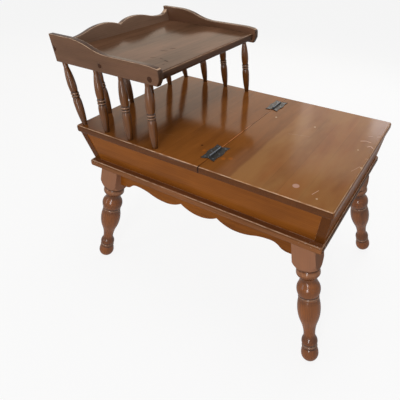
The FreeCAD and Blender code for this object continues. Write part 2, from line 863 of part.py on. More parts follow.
def spindle_places():
    """Give each spindle's name, its foot on the top and its head under the gallery."""
    half_foot = spindle_spread / 2
    half_head = gallery_half - d.gallery_thick / 2
    back_foot = middle - spindle_back
    places = []
    for side, sign in SIDES.items():
        for index in range(SIDE_SPINDLES):
            foot = back_foot + d.spindle_pitch * index
            rake = d.spindle_rake if index else d.spindle_corner_rake
            places.append((f"spindle_{side}_{index + 1}",
                           spot(foot, half_foot * sign, d.top_height),
                           spot(foot - rake, half_head * sign, gallery_floor)))
    share = (gallery_floor - d.top_height + d.shelf_rise) / d.gallery_rise
    for index in range(BACK_SPINDLES):
        across = spindle_spread * ((index + 1) / (BACK_SPINDLES + 1) - 0.5)
        places.append((f"spindle_back_{index + 1}",
                       spot(back_foot, across, d.top_height),
                       spot(back_foot - d.spindle_back_rake * share, across, shelf_floor)))
    return places


def make_spindles():
    """Twelve raked spindles, and the sockets that their ends stand in."""
    sockets = {"foot": [], "head": []}
    deep = d.socket_depth + d.fit_gap
    for name, foot, head in spindle_places():
        run = head - foot
        length = Size(run.Length, repr(run.Length))
        body = doc.addObject("PartDesign::Body", name)
        spun(body, f"{name}_turning", "Revolution", spindle_stations(length))
        turn = pointing(run)
        body.Placement = FreeCAD.Placement(foot, turn)
        node(name, body)
        sockets["foot"].append(FreeCAD.Placement(foot, pointing(-run)))
        sockets["head"].append(FreeCAD.Placement(head, turn))
    tools = []
    radii = {"foot": d.spindle_foot_radius, "head": d.spindle_top_radius}
    for name, places in sockets.items():
        reach = cylinder(f"{name}_socket", radii[name] + d.fit_gap, deep * 2)
        place(reach, z=-deep)
        tools.append(copies(f"{name}_sockets", reach, places))
    return tools


def button_places(sign):
    """Give the three button centres on one gallery side, on its outer face."""
    rises = (d.button_rear_rise, d.shelf_rise + d.shelf_thick / 2, d.button_front_rise)
    reaches = (gallery_back - d.button_rear_inset, gallery_back - d.button_mid_inset,
               d.shelf_front_reach + d.button_front_inset)
    return [spot(middle - reach, gallery_half * sign, gallery_floor + rise)
            for reach, rise in zip(reaches, rises)]


def make_buttons():
    """Domed wooden buttons that plug the screw holes; returns their counterbores."""
    radius = d.button_radius
    master = doc.addObject("PartDesign::Body", "button")
    spun(master, "button_turning", "Revolution", [
        (NOTHING, -d.button_depth, SHARP), (radius, -d.button_depth, SHARP),
        (radius, NOTHING, SHARP), (NOTHING, d.button_dome, SHARP)])
    bore = cylinder("button_bore", radius + d.fit_gap, (d.button_depth + d.fit_gap) * 2)
    place(bore, z=-(d.button_depth + d.fit_gap))
    bores = []
    for side, sign in SIDES.items():
        turn = pointing(FreeCAD.Vector(0, sign, 0))
        places = [FreeCAD.Placement(point, turn) for point in button_places(sign)]
        node(f"gallery_buttons_{side}", copies(f"gallery_buttons_{side}", master, places))
        bores.append(copies(f"button_bores_{side}", bore, places))
    return bores


# ---------------------------------------------------------------- fasteners

def fasteners(name, head, shank, length, places):
    """Make one group of screws as a node, and return the holes that take them."""
    master = screw(f"{name}_one", head, shank, length)
    node(name, copies(name, master, places))
    hole = screw(f"{name}_hole", head, shank, length, d.fit_gap, slotted=False)
    return copies(f"{name}_holes", hole, places)


def shelf_screw_places():
    """Screws under the buttons, driven inwards through the gallery sides."""
    places = []
    inset = float(d.button_depth + d.screw_sink)
    for sign in SIDES.values():
        outward = FreeCAD.Vector(0, sign, 0)
        for point in button_places(sign):
            places.append(FreeCAD.Placement(point - outward * inset, pointing(outward)))
    return places


def leg_screw_places():
    """Two screws down through the base plate into each leg block."""
    places = []
    sink = plate_height - d.screw_sink
    for end_sign in ENDS.values():
        for side_sign in SIDES.values():
            y = (leg_top_cross - d.leg_screw_inset) * side_sign
            for step in (0, 1):
                reach = leg_top_long - d.leg_screw_inset + d.leg_screw_pitch * step
                point = spot(middle + reach * end_sign, y, sink)
                places.append(FreeCAD.Placement(point, FreeCAD.Rotation()))
    return places


def box_screw_places():
    """Screws up through the base plate into the middle of the box's boards."""
    turn = pointing(DOWN)
    sink = plate_floor + d.screw_sink
    side_y = (d.box_width - d.box_side_thick) / 2
    end_x = (box_length - d.box_end_thick) / 2
    places = []
    for sign in (-1, 1):
        for share in (-0.3, 0.0, 0.3):
            point = spot(middle + box_length * share, side_y * sign, sink)
            places.append(FreeCAD.Placement(point, turn))
        for share in (-0.2, 0.2):
            point = spot(middle + end_x * sign, d.box_width * share, sink)
            places.append(FreeCAD.Placement(point, turn))
    return places


def rail_screw_places():
    """Three screws up through the rail into the fixed top, behind the seam."""
    turn = pointing(DOWN)
    sink = d.top_height - d.top_thick - d.rail_thick + d.screw_sink
    x = seam - d.rail_width / 4
    return [FreeCAD.Placement(spot(x, d.box_width * share, sink), turn)
            for share in (-0.3, 0.0, 0.3)]


def batten_screw_places():
    """Three screws up through each batten into the lid."""
    turn = pointing(DOWN)
    sink = lid_floor - d.batten_thick + d.screw_sink
    places = []
    for sign in SIDES.values():
        for share in (0.1, 0.5, 0.9):
            point = spot(batten_start + batten_length * share, d.batten_spread * sign, sink)
            places.append(FreeCAD.Placement(point, turn))
    return places


# ---------------------------------------------------------------- hinges

def hinge_places():
    """Give each hinge's name and its place across the table."""
    reach = top_width / 2 - d.hinge_inset
    return {side: reach * sign for side, sign in SIDES.items()}


def leaf_screw_points(leaf_sign, hinge_y):
    """Give the three screw points of one leaf, on the top's surface."""
    points = []
    for share in (-1, 0, 1):
        x = seam + d.leaf_screw_reach * leaf_sign
        points.append((x, hinge_y + d.leaf_screw_spread * share))
    return points


def leaf_screw_places(leaf_sign):
    """Screws that hold one side's leaves, with their heads flush in the leaves."""
    sink = d.top_height + d.leaf_thick - d.screw_sink
    places = []
    for hinge_y in hinge_places().values():
        for x, y in leaf_screw_points(leaf_sign, hinge_y):
            turn = FreeCAD.Rotation(UP, 37.0 * len(places))
            places.append(FreeCAD.Placement(spot(x, y, sink), turn))
    return places


def leaf_stations():
    """Outline of one leaf: flared tips at both ends and a lobe between them."""
    root = d.seam_gap / 2
    tip = (d.leaf_tip_reach, d.leaf_tip_spread, SHARP)
    waist = (d.leaf_waist_reach, d.leaf_waist_spread, ROUND)
    tip_inner = (d.leaf_tip_inner_reach, d.leaf_tip_inner_spread, SHARP)
    upper = [waist, tip, tip_inner, (root, d.leaf_root_spread, SHARP)]
    lower = [(u, -v, kind) for u, v, kind in reversed(upper)]
    return [(d.leaf_lobe_reach, NOTHING, ROUND)] + upper + lower


def knuckle_tools(name, wanted, radius, spare):
    """Barrels of the wanted knuckles along the leaf's own Y axis, spare longer at each end."""
    turn = pointing(FreeCAD.Vector(0, 1, 0))
    length = d.knuckle_half * 2 / KNUCKLES
    barrels = []
    for index in wanted:
        barrel = cylinder(f"{name}_{index}", radius, length - d.knuckle_gap + spare * 2)
        start = length * index - d.knuckle_half + d.knuckle_gap / 2 - spare
        barrels.append(place(barrel, NOTHING, start, pin_rise, turn))
    return barrels


def make_leaf(name, own, others, place_x, place_y, turn, holes):
    """One hinge leaf: a shaped plate and its knuckles, bored for the pin and the screws."""
    plate = padded(f"{name}_plate", "XY_Plane", leaf_stations(), d.leaf_thick, along="v")
    barrels = knuckle_tools(f"{name}_barrel", own, d.knuckle_radius, NOTHING)
    leaf = fuse(f"{name}_solid", [plate] + barrels)
    ways = knuckle_tools(f"{name}_way", others, d.knuckle_radius + d.knuckle_gap,
                         d.knuckle_gap)
    bore = cylinder(f"{name}_bore", d.pin_radius + d.pin_clearance, d.knuckle_half * 4)
    place(bore, NOTHING, d.knuckle_half * -2, pin_rise, pointing(FreeCAD.Vector(0, 1, 0)))
    shaped = cut(f"{name}_shaped", leaf, fuse(f"{name}_waste", ways + [bore]))
    placed = place(shaped, place_x, place_y, d.top_height, turn)
    node(name, cut(f"{name}_drilled", placed, holes))


def make_hinges(fixed_holes, lid_holes):
    """Two surface hinges over the seam: a fixed leaf, a lid leaf and a pin each."""
    own_fixed = range(0, KNUCKLES, 2)
    own_lid = range(1, KNUCKLES, 2)
    half_turn = FreeCAD.Rotation(UP, 180)
    for side, hinge_y in hinge_places().items():
        make_leaf(f"hinge_{side}_leaf_fixed", own_fixed, own_lid, seam, hinge_y,
                  half_turn, fixed_holes)
        make_leaf(f"hinge_{side}_leaf_lid", own_lid, own_fixed, seam, hinge_y,
                  FreeCAD.Rotation(), lid_holes)
        pin = cylinder(f"hinge_{side}_pin", d.pin_radius, d.knuckle_half * 2)
        place(pin, seam, hinge_y - d.knuckle_half, d.top_height + pin_rise,
              pointing(FreeCAD.Vector(0, 1, 0)))
        node(f"hinge_{side}_pin", pin)


# ---------------------------------------------------------------- assembly

def build():
    """Make every sub-part in its place."""
    head = d.wood_screw_head
    shank = d.wood_screw_shank
    leg_holes = fasteners("leg_screws", head, shank, d.leg_screw_length, leg_screw_places())
    box_holes = fasteners("box_screws", head, shank, d.box_screw_length, box_screw_places())
    shelf_holes = fasteners("shelf_screws", head, shank, d.shelf_screw_length,
                            shelf_screw_places())
    rail_holes = fasteners("rail_screws", head, shank, d.rail_screw_length,
                           rail_screw_places())
    batten_holes = fasteners("batten_screws", head, shank, d.batten_screw_length,
                             batten_screw_places())
    fixed_holes = fasteners("hinge_screws_fixed", d.hinge_screw_head, d.hinge_screw_shank,
                            d.hinge_screw_length, leaf_screw_places(-1))
    lid_holes = fasteners("hinge_screws_lid", d.hinge_screw_head, d.hinge_screw_shank,
                          d.hinge_screw_length, leaf_screw_places(1))
    bores = make_buttons()
    foot_sockets, head_sockets = make_spindles()
    make_base_plate(together("plate_holes", [leg_holes, box_holes]))
    make_box_sides(box_holes)
    make_box_ends(box_holes)
    make_seam_rail(rail_holes)
    make_tops(together("fixed_top_holes", [foot_sockets, fixed_holes, rail_holes]),
              together("lid_holes", [lid_holes, batten_holes]))
    make_battens(batten_holes)
    aprons = make_aprons()
    make_legs(aprons, leg_holes)
    make_gallery_sides(together("gallery_side_holes", [head_sockets, shelf_holes] + bores))
    make_gallery_back(shelf_holes)
    make_shelf(together("shelf_holes", [head_sockets, shelf_holes]))
    make_hinges(fixed_holes, lid_holes)
    doc.recompute()


def check():
    """Stop if any object failed or any sub-part is empty, broken or not placed."""
    for thing in doc.Objects:
        if "Invalid" in thing.State or "Error" in thing.State:
            raise ValueError(f"{thing.Name} failed: {thing.State}")
    for thing in nodes:
        if thing.Shape.isNull() or not thing.Shape.isValid() or not thing.Shape.Solids:
            raise ValueError(f"{thing.Label} has no valid solid")


def export():
    """Write each sub-part to its own file."""
    os.makedirs("parts", exist_ok=True)
    for thing in nodes:
        thing.Shape.exportStep(f"parts/{thing.Label}.step")
    print(f"{len(nodes)} sub-parts written")


build()
check()
export()
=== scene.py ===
from collections import namedtuple

import bpy
import numpy as np
from mathutils import Matrix, Vector

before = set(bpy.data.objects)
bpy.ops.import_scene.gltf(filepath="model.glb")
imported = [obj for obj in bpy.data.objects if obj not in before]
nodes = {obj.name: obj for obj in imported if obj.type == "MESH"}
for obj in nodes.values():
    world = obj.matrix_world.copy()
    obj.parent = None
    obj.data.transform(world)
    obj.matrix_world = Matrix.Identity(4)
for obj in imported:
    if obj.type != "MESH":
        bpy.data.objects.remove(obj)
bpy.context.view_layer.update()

# ---------------------------------------------------------------- sizes, in metres

TOP_HEIGHT = 0.467
MIDDLE = 0.00907                 # x of the top's middle
SEAM = MIDDLE + 0.038            # x of the seam between the fixed top and the lid
SHELF_HEIGHT = 0.6495
PLATE_HEIGHT = 0.3544            # z of the plate's level top
BOX_HALF_WIDTH = 0.207           # y of the box's side where it meets the plate
BLOCK_START = 0.272              # up the leg from its sole, where the square block starts
KNUCKLE_CREST = TOP_HEIGHT + 0.006


# ---------------------------------------------------------------- shader bench

class Channel:
    """A value that varies over a surface. Arithmetic on it adds Math nodes to its tree."""

    def __init__(self, tree, socket):
        self.tree = tree
        self.socket = socket

    def math(self, operation, other=None):
        inputs = [self] if other is None else [self, other]
        return add(self.tree, "Math", inputs, operation=operation)

    def __add__(self, other):
        return self.math("ADD", other)

    def __sub__(self, other):
        return self.math("SUBTRACT", other)

    def __mul__(self, other):
        return self.math("MULTIPLY", other)

    def __abs__(self):
        return self.math("ABSOLUTE")

    __radd__ = __add__
    __rmul__ = __mul__

    def __rsub__(self, other):
        return (self * -1.0) + other


def add(tree, kind, inputs=(), output=0, **settings):
    """Add one node, set its properties and fill its inputs, by name or in order.

    Gives the output that is asked for, by its name or its place.
    """
    made = tree.nodes.new("ShaderNode" + kind)
    for name, value in settings.items():
        setattr(made, name, value)
    pairs = inputs.items() if isinstance(inputs, dict) else enumerate(inputs)
    for key, value in pairs:
        socket = made.inputs[key]
        if isinstance(value, Channel):
            tree.links.new(value.socket, socket)
        else:
            socket.default_value = value
    return Channel(tree, made.outputs[output])


def step(value, low, high, start=0.0, end=1.0):
    """Smooth step: start below low, end above high."""
    return add(value.tree, "MapRange", [value, low, high, start, end],
               interpolation_type="SMOOTHSTEP", clamp=True)


def line(value, low, high, start=0.0, end=1.0):
    """Straight ramp from start at low to end at high, held outside."""
    return add(value.tree, "MapRange", [value, low, high, start, end], clamp=True)


def band(value, level, core, reach, depth=1.0):
    """Depth where the value is within a core's distance of a level, and 0 past its reach."""
    return step(abs(value - level), core, reach, depth, 0.0)


# A colour mix's own sockets lie behind those of the number and vector mixes.
MIX_AMOUNT, MIX_FIRST, MIX_SECOND, MIX_RESULT = 0, 6, 7, 2


def tint(first, second, amount):
    """Mix two colours: the first at 0 and the second at 1."""
    return add(amount.tree, "Mix", {MIX_AMOUNT: amount, MIX_FIRST: first, MIX_SECOND: second},
               output=MIX_RESULT, data_type="RGBA", blend_type="MIX")


def noise(point, scale, detail=3.0, roughness=0.5, distortion=0.0):
    """Fractal noise between 0 and 1."""
    return add(point.tree, "TexNoise", {"Vector": point, "Scale": scale, "Detail": detail,
               "Roughness": roughness, "Distortion": distortion})


def chance(number):
    """A random number between 0 and 1 for each value of a number."""
    return add(number.tree, "TexWhiteNoise", {"W": number}, noise_dimensions="1D")


def stretch(point, x, y, z):
    """Scale a point's three coordinates."""
    return add(point.tree, "Mapping", {"Vector": point, "Scale": (x, y, z)})


def shift(point, x, y, z):
    """Move a point, so that two patterns on it don't match."""
    return add(point.tree, "Mapping", {"Vector": point, "Location": (x, y, z)})


def drawn_out(point, along, across, *settings):
    """Noise drawn out along the grain, by its scale along the grain and its scale across."""
    return noise(stretch(point, along, across, across), 1.0, *settings)


def separate(point):
    """Give a point's three coordinates."""
    node = add(point.tree, "SeparateXYZ", [point]).socket.node
    return [Channel(point.tree, socket) for socket in node.outputs]


def dot(tree, first, second):
    """Product of two directions: 1 where they agree, 0 where they are square."""
    return add(tree, "VectorMath", [first, second], output="Value", operation="DOT_PRODUCT")


def edge_bend(tree, radius):
    """How far the normal averaged over a radius leaves the true one: 0 on an open face."""
    true = add(tree, "NewGeometry", output="Normal")
    averaged = add(tree, "Bevel", [radius], samples=6)
    return 1.0 - dot(tree, averaged, true)


def colour(red, green, blue):
    """Linear colour from the 0 to 255 values that a screen shows."""
    def linear(value):
        share = value / 255.0
        return share / 12.92 if share <= 0.04045 else ((share + 0.055) / 1.055) ** 2.4
    return (linear(red), linear(green), linear(blue), 1.0)


def new_finish(name):
    """Start an empty material."""
    finish = bpy.data.materials.new(name)
    finish.use_nodes = True
    finish.node_tree.nodes.clear()
    return finish


def surface(tree, base, roughness, normal, **constants):
    """Close a material with a Principled BSDF. Constants go straight on its sockets."""
    shader = tree.nodes.new("ShaderNodeBsdfPrincipled")
    output = tree.nodes.new("ShaderNodeOutputMaterial")
    tree.links.new(shader.outputs[0], output.inputs[0])
    tree.links.new(base.socket, shader.inputs["Base Color"])
    tree.links.new(roughness.socket, shader.inputs["Roughness"])
    tree.links.new(normal.socket, shader.inputs["Normal"])
    for name, value in constants.items():
        shader.inputs[name.replace("_", " ")].default_value = value
    return shader


# ---------------------------------------------------------------- stains and varnishes

# Each stain: the wood where it took up least, and where it took up most.
TOP_STAIN = colour(152, 92, 40), colour(98, 54, 20)
BOX_STAIN = colour(142, 82, 28), colour(100, 54, 17)
PLATE_STAIN = colour(150, 96, 58), colour(102, 64, 38)
LEG_STAIN = colour(158, 90, 34), colour(80, 40, 14)
GALLERY_STAIN = colour(124, 88, 66), colour(76, 54, 37)
# The back board's stain is paler than the sides': painted light that offsets the shade it stands
# in.
BACK_STAIN_WITH_PAINTED_LIGHT = colour(152, 120, 98), colour(98, 76, 60)
SPINDLE_STAIN = colour(122, 72, 30), colour(60, 34, 13)
BUTTON_STAIN = colour(104, 66, 42), colour(58, 34, 22)
UNSTAINED = colour(190, 150, 105), colour(158, 116, 74)

BARE_WOOD_AND_HIGHLIGHT = colour(224, 188, 156)        # on rubbed arrises, and painted highlights on upper arrises and turned crests
OLD_STAIN_AND_SHADE = colour(34, 18, 12)           # in pores, joints and hollows, and painted shade in inner corners, hollows and under arrises
BLOCK_TONE = colour(152, 112, 90)        # of the square blocks above the legs' turning
SEAM_TONE = colour(206, 128, 74)         # beside the seam, where it is rubbed
OUTER_PLANKS = colour(160, 112, 58)      # of the lid, past its first glue line
PALE_DROP = colour(205, 160, 142)
CHIP = colour(226, 196, 160)
ORANGE_SPOT = colour(176, 98, 34)
LID_SCRATCH = colour(234, 196, 172)
TOP_SCRATCH = colour(190, 140, 100)
PLATE_LINE = colour(196, 160, 132)
PLATE_FLECK = colour(196, 186, 178)

# How rough the wood under a varnish is, how thick the clear coat is, how rough the coat, and
# the coat's refractive index.
Varnish = namedtuple("Varnish", "wood_roughness coat coat_roughness coat_index")
TOP_VARNISH = Varnish(0.40, 0.34, 0.13, 1.42)
SHELF_VARNISH = Varnish(0.42, 0.22, 0.15, 1.42)
BOX_VARNISH = Varnish(0.50, 0.18, 0.20, 1.42)
LEG_VARNISH = Varnish(0.42, 0.46, 0.20, 1.66)
GALLERY_VARNISH = Varnish(0.45, 0.38, 0.22, 1.42)
PLANED = Varnish(0.62, 0.0, 0.50, 1.42)
BLOCK_COAT = 0.05                        # the blocks above the turning are nearly dull


# ---------------------------------------------------------------- the wood's figure

# Each pattern: its scale along the grain and across it, its detail, roughness and distortion.
FIBRE = (14.0, 900.0, 3.0, 0.62)
STREAK = (3.0, 95.0, 3.0, 0.55)
PORE = (190.0, 1900.0, 1.0)
BLOTCH = (8.0, 28.0, 4.0, 0.6, 0.4)
CLOUD = (3.5, 12.0, 1.0)

# How much of the way from the light to the dark stain each pattern takes a board.
RING_SHARE, STREAK_SHARE, FIBRE_SHARE = 0.16, 0.24, 0.12
BLOTCH_SHARE, CLOUD_SHARE, DARK_OFFSET = 0.30, 0.30, 0.06

RINGS_PER_METRE = 260.0
PITH_SPREAD = 0.20                       # range over which the planks' piths lie sideways
PITH_DEPTH = 0.03                        # least distance from a plank's face down to its pith
GLUE_WAVER = 0.0012                      # how far a glue line leaves its straight place
GLUE_BLEND = 0.0016                      # half the width over which two planks' tones meet

# how far each of these goes to old stain and painted shade, or to bare wood and painted
# highlight
PORE_SHARE, GLUE_SHARE, CORNER_SHARE, WORN_AND_HIGHLIT_SHARE = 0.22, 0.30, 0.70, 0.85
# on a piece whose faces lie square to the axes, and on any other
SQUARED_END_SHARE, FREE_END_SHARE = 0.85, 0.45
SQUARED_CORNER_REACH, FREE_CORNER_REACH = 0.007, 0.014
ARRIS_RADIUS = 0.0022                    # over which a free piece's normals are averaged
SOFT_EDGE = 0.0007                       # radius that every edge seems to have
RELIEF = {"Strength": 0.08, "Distance": 0.0006}


def grain_frame(along, start):
    """Rotation angles and offset that turn object space so that X runs along a board's grain.

    The point maps to R p + t, where R takes the grain's direction to X and t takes start to 0.
    """
    turn = Vector(along).normalized().rotation_difference(Vector((1, 0, 0)))
    offset = -(turn @ Vector(start))
    return tuple(turn.to_euler()), tuple(offset)


def growth_rings(point, seed, planks):
    """Figure of the wood on a point whose X runs along the grain.

    The rings are cylinders about a pith that lies beside each plank, bent by slow noise. Each is
    pale where it starts in spring and darkens to its end. Planks are given by the place of each
    glue line across the grain and by how much darker the plank beyond it is. Gives the planks'
    own tone, the dark share of the rings and the glue lines.
    """
    u, v, w = separate(point)
    tone, order, glue = v * 0.0, v * 0.0, v * 0.0
    waver = v + (noise(stretch(point, 6.0, 1.0, 1.0), 1.0, 1.0) - 0.5) * GLUE_WAVER
    for place, change in planks:
        beyond = step(waver, place - GLUE_BLEND, place + GLUE_BLEND)
        tone = tone + beyond * change
        order = order + beyond
        glue = glue + band(waver, place, 0.0002, 0.0010)
    sideways = chance(order + seed)
    deeper = chance(order * 1.7 + seed + 11.3)
    bend = drawn_out(point, 2.2, 7.0, 2.0)
    dv = v - (sideways - 0.5) * PITH_SPREAD + (bend - 0.5) * 0.05
    dw = w + deeper * 0.05 + PITH_DEPTH + u * 0.03
    radius = (dv * dv + dw * dw).math("SQRT")
    ripple = drawn_out(point, 10.0, 60.0) - 0.5
    ring = (radius * RINGS_PER_METRE + ripple * 1.4 + seed * 3.1).math("FRACT")
    late = step(ring, 0.35, 0.96) - step(ring, 0.96, 1.0)
    return tone, late, glue


def end_grain(base, dark, square, drift, share):
    """Where a face is square to the fibres it is darker, and mottled by its pores."""
    mottle = noise(drift, 420.0, 3.0, 0.7)
    thirsty = tint(dark, OLD_STAIN_AND_SHADE, line(mottle, 0.3, 0.75, 0.22, 0.72))
    return tint(base, thirsty, step(square, 0.55, 0.92) * share)


def inner_corners(base, reach):
    """Darker where a piece's own surface closes in within a reach, as ambient occlusion finds
    it: painted shade, with old stain.
    """
    open_share = add(base.tree, "AmbientOcclusion", {"Distance": reach}, output="AO", samples=6,
                     only_local=True)
    return tint(base, OLD_STAIN_AND_SHADE, step(open_share, 0.30, 0.92, CORNER_SHARE, 0.0))


def turning_bands(base, height, patch, hollows, crests):
    """Bands round a turning: darker in its hollows, old stain with painted shade, and pale on
    its crests, rubbed wear with painted highlights.
    """
    for level, reach, depth in hollows:
        near = band(height, level, reach * 0.15, reach, depth)
        base = tint(base, OLD_STAIN_AND_SHADE, near * line(patch, 0.2, 0.7, 0.7, 1.0))
    for level, reach, depth in crests:
        near = band(height, level, reach * 0.3, reach, depth)
        base = tint(base, BARE_WOOD_AND_HIGHLIGHT, near * line(patch, 0.3, 0.6, 0.45, 1.0))
    return base


def squared_arrises(base, facing, patch, wear, dark_edge):
    """Arrises of a board whose faces lie square to the axes.

    The largest share of the normal falls below 1 where the surface turns from one axis to
    another. By how steeply it faces up, the upper part of that turn is made pale, rubbed wear
    with a painted highlight, and its lower part is darkened as painted shade. Dark edge is how
    far all that faces up is darkened.
    """
    x, y, z = (abs(value) for value in separate(facing))
    rise = separate(facing)[2]
    turned = step(1.0 - x.math("MAXIMUM", y).math("MAXIMUM", z), 0.05, 0.12)
    upper = turned * step(rise, 0.68, 0.78) * step(rise, 0.94, 0.985, 1.0, 0.0)
    lower = turned * step(rise, 0.45, 0.70, 1.0, 0.0)
    # painted shade on the lower part of each arris, and a painted highlight with wear on its
    # upper part
    base = tint(base, OLD_STAIN_AND_SHADE, lower * line(patch, 0.3, 0.7, 0.15, 0.50))
    base = tint(base, OLD_STAIN_AND_SHADE, step(rise, 0.72, 0.94) * dark_edge)
    return tint(base, BARE_WOOD_AND_HIGHLIGHT, upper * step(patch, 0.34, 0.58, 0.35, 1.0) * wear * WORN_AND_HIGHLIT_SHARE)


def free_arrises(base, patch, wear):
    """Arrises of a turned or slanting piece, found by how far its normals bend."""
    bend = edge_bend(base.tree, ARRIS_RADIUS)
    worn = step(bend, 0.06, 0.20) * step(patch, 0.42, 0.66, 0.0, wear)
    return tint(base, BARE_WOOD_AND_HIGHLIGHT, worn * WORN_AND_HIGHLIT_SHARE)


def maple(name, along, start, stain, varnish, seed=0.0, planks=(), figure=1.0, squared=True,
          marks=None, hollows=(), crests=(), turned_up_to=None, wear=1.0, dark_edge=0.0):
    """Stained and varnished maple with its grain along a direction.

    The stain's share is a weighted sum of growth rings, fine fibres drawn out along the grain,
    and the blotches of a wiped stain. Ends, corners, bands and arrises are then tinted over it
    by their own functions, with painted shade in corners and hollows and painted highlights on
    crests and upper arrises. Figure scales the rings and streaks, and wear the pale arrises:
    rubbed wear, and on squared boards painted highlight too.
    Squared says that the faces lie square to the axes. A piece that is turned up to a height has
    a paler, duller square block above it. Marks are a function that changes the colour and the
    roughness last, and gives the share of varnish that is broken.
    """
    light, dark = stain
    finish = new_finish(name)
    tree = finish.node_tree
    place = add(tree, "TexCoord", output="Object")
    facing = add(tree, "TexCoord", output="Normal")
    turn, offset = grain_frame(along, start)
    point = add(tree, "Mapping", {"Vector": place, "Rotation": turn, "Location": offset})
    height = separate(point)[0]

    drift = shift(point, seed * 0.7, seed * 0.3, seed * 0.5)
    fibre = drawn_out(drift, *FIBRE)
    streak = drawn_out(drift, *STREAK)
    pore = step(drawn_out(drift, *PORE), 0.70, 0.78)
    blotch = drawn_out(drift, *BLOTCH)
    cloud = drawn_out(drift, *CLOUD)
    patch = noise(place, 42.0, 3.0, 0.65)
    tone, late, glue = growth_rings(point, seed, planks)

    amount = (late * (RING_SHARE * figure) + line(streak, 0.3, 0.7) * (STREAK_SHARE * figure)
              + line(fibre, 0.25, 0.75) * FIBRE_SHARE + line(blotch, 0.32, 0.68) * BLOTCH_SHARE
              + line(cloud, 0.35, 0.65) * CLOUD_SHARE + tone - DARK_OFFSET)
    base = tint(light, dark, add(tree, "Clamp", [amount]))
    base = tint(base, OLD_STAIN_AND_SHADE, pore * PORE_SHARE)
    base = tint(base, OLD_STAIN_AND_SHADE, glue * GLUE_SHARE)

    square = abs(dot(tree, facing, tuple(Vector(along).normalized())))
    base = end_grain(base, dark, square, drift,
                     SQUARED_END_SHARE if squared else FREE_END_SHARE)
    base = inner_corners(base, SQUARED_CORNER_REACH if squared else FREE_CORNER_REACH)
    base = turning_bands(base, height, patch, hollows, crests)
    if turned_up_to is not None:
        on_block = step(height, turned_up_to - 0.003, turned_up_to + 0.003)
        base = tint(base, BLOCK_TONE, on_block * line(cloud, 0.3, 0.7, 0.55, 0.85))
    if squared:
        base = squared_arrises(base, facing, patch, wear, dark_edge)
    else:
        base = free_arrises(base, patch, wear)

    roughness = (line(blotch, 0.2, 0.8, varnish.wood_roughness - 0.05,
                      varnish.wood_roughness + 0.07) + fibre * 0.05)
    relief = fibre * 0.35 + streak * 0.25 + noise(place, 34.0, 2.0) * 1.2
    shine = None
    if marks:
        base, roughness, broken = marks(place, base, roughness)
        shine = (1.0 - broken) * varnish.coat
    if turned_up_to is not None:
        shine = line(on_block, 0.0, 1.0, varnish.coat, BLOCK_COAT)
    softened = add(tree, "Bevel", [SOFT_EDGE], samples=4)
    bump = add(tree, "Bump", {"Height": relief, "Normal": softened, **RELIEF})
    shader = surface(tree, base, roughness, bump, Coat_Weight=varnish.coat,
                     Coat_Roughness=varnish.coat_roughness, Coat_IOR=varnish.coat_index,
                     Specular_IOR_Level=0.0)
    if shine is not None:
        tree.links.new(shine.socket, shader.inputs["Coat Weight"])
    return finish


def assign(name, finish):
    """Give a node its finish in place of its packed one."""
    slots = nodes[name].material_slots
    for slot in slots:
        slot.material = finish
    if not slots:
        nodes[name].data.materials.append(finish)


# ---------------------------------------------------------------- marks of use
# Each marks function gives the changed colour and roughness, and where the varnish is broken.

def upper_face(place, level):
    """1 on the level face at a height and 0 on the edges and undersides below it."""
    return step(separate(place)[2], level - 0.0014, level - 0.0003)


def spotted(place, base, tone, share, soft, spots):
    """Round spots on the top, by their x, y and radius.

    Each is 1 where the distance to its centre is below the radius, and fades over a soft rim.
    """
    for x, y, radius in spots:
        far = add(place.tree, "VectorMath", [place, (x, y, TOP_HEIGHT)], output="Value",
                  operation="DISTANCE")
        base = tint(base, tone, step(far, radius - soft, radius + soft, 1.0, 0.0) * share)
    return base


def scratch(place, x0, y0, x1, y1, width):
    """Straight scratch: the distance to the line between two points, cut off at its ends."""
    run = Vector((x1 - x0, y1 - y0, 0.0))
    length = run.length
    run /= length
    x, y, _ = separate(place)
    dx, dy = x - x0, y - y0
    along = dx * run.x + dy * run.y
    aside = abs(dx * -run.y + dy * run.x)
    inside = step(along, -width, width) * step(along, length - width, length + width, 1.0, 0.0)
    return step(aside, width * 0.4, width, 1.0, 0.0) * inside


def scratches_along(place, face, paths):
    """Scratches through given points on a face, each path with its width and depth."""
    total = face * 0.0
    for width, depth, *stops in paths:
        for (x0, y0), (x1, y1) in zip(stops, stops[1:]):
            total = total.math("MAXIMUM", scratch(place, x0, y0, x1, y1, width) * depth)
    return total * face


def along_seam(place, base):
    """The seam's line, dark where it shows in the top's edges and rubbed pale beside it."""
    x, y, _ = separate(place)
    in_edges = step(abs(y), 0.222, 0.229, 0.35, 0.95)
    base = tint(base, OLD_STAIN_AND_SHADE, band(x, SEAM, 0.0007, 0.0019) * in_edges)
    patch = step(noise(place, 26.0, 2.0), 0.40, 0.52, 0.25, 1.0)
    rubbed = (band(x, SEAM - 0.0022, 0.0006, 0.0018) * patch
              * step(y, -0.142, -0.134) * step(y, -0.03, 0.03, 1.0, 0.30))
    return tint(base, SEAM_TONE, rubbed * 0.8)


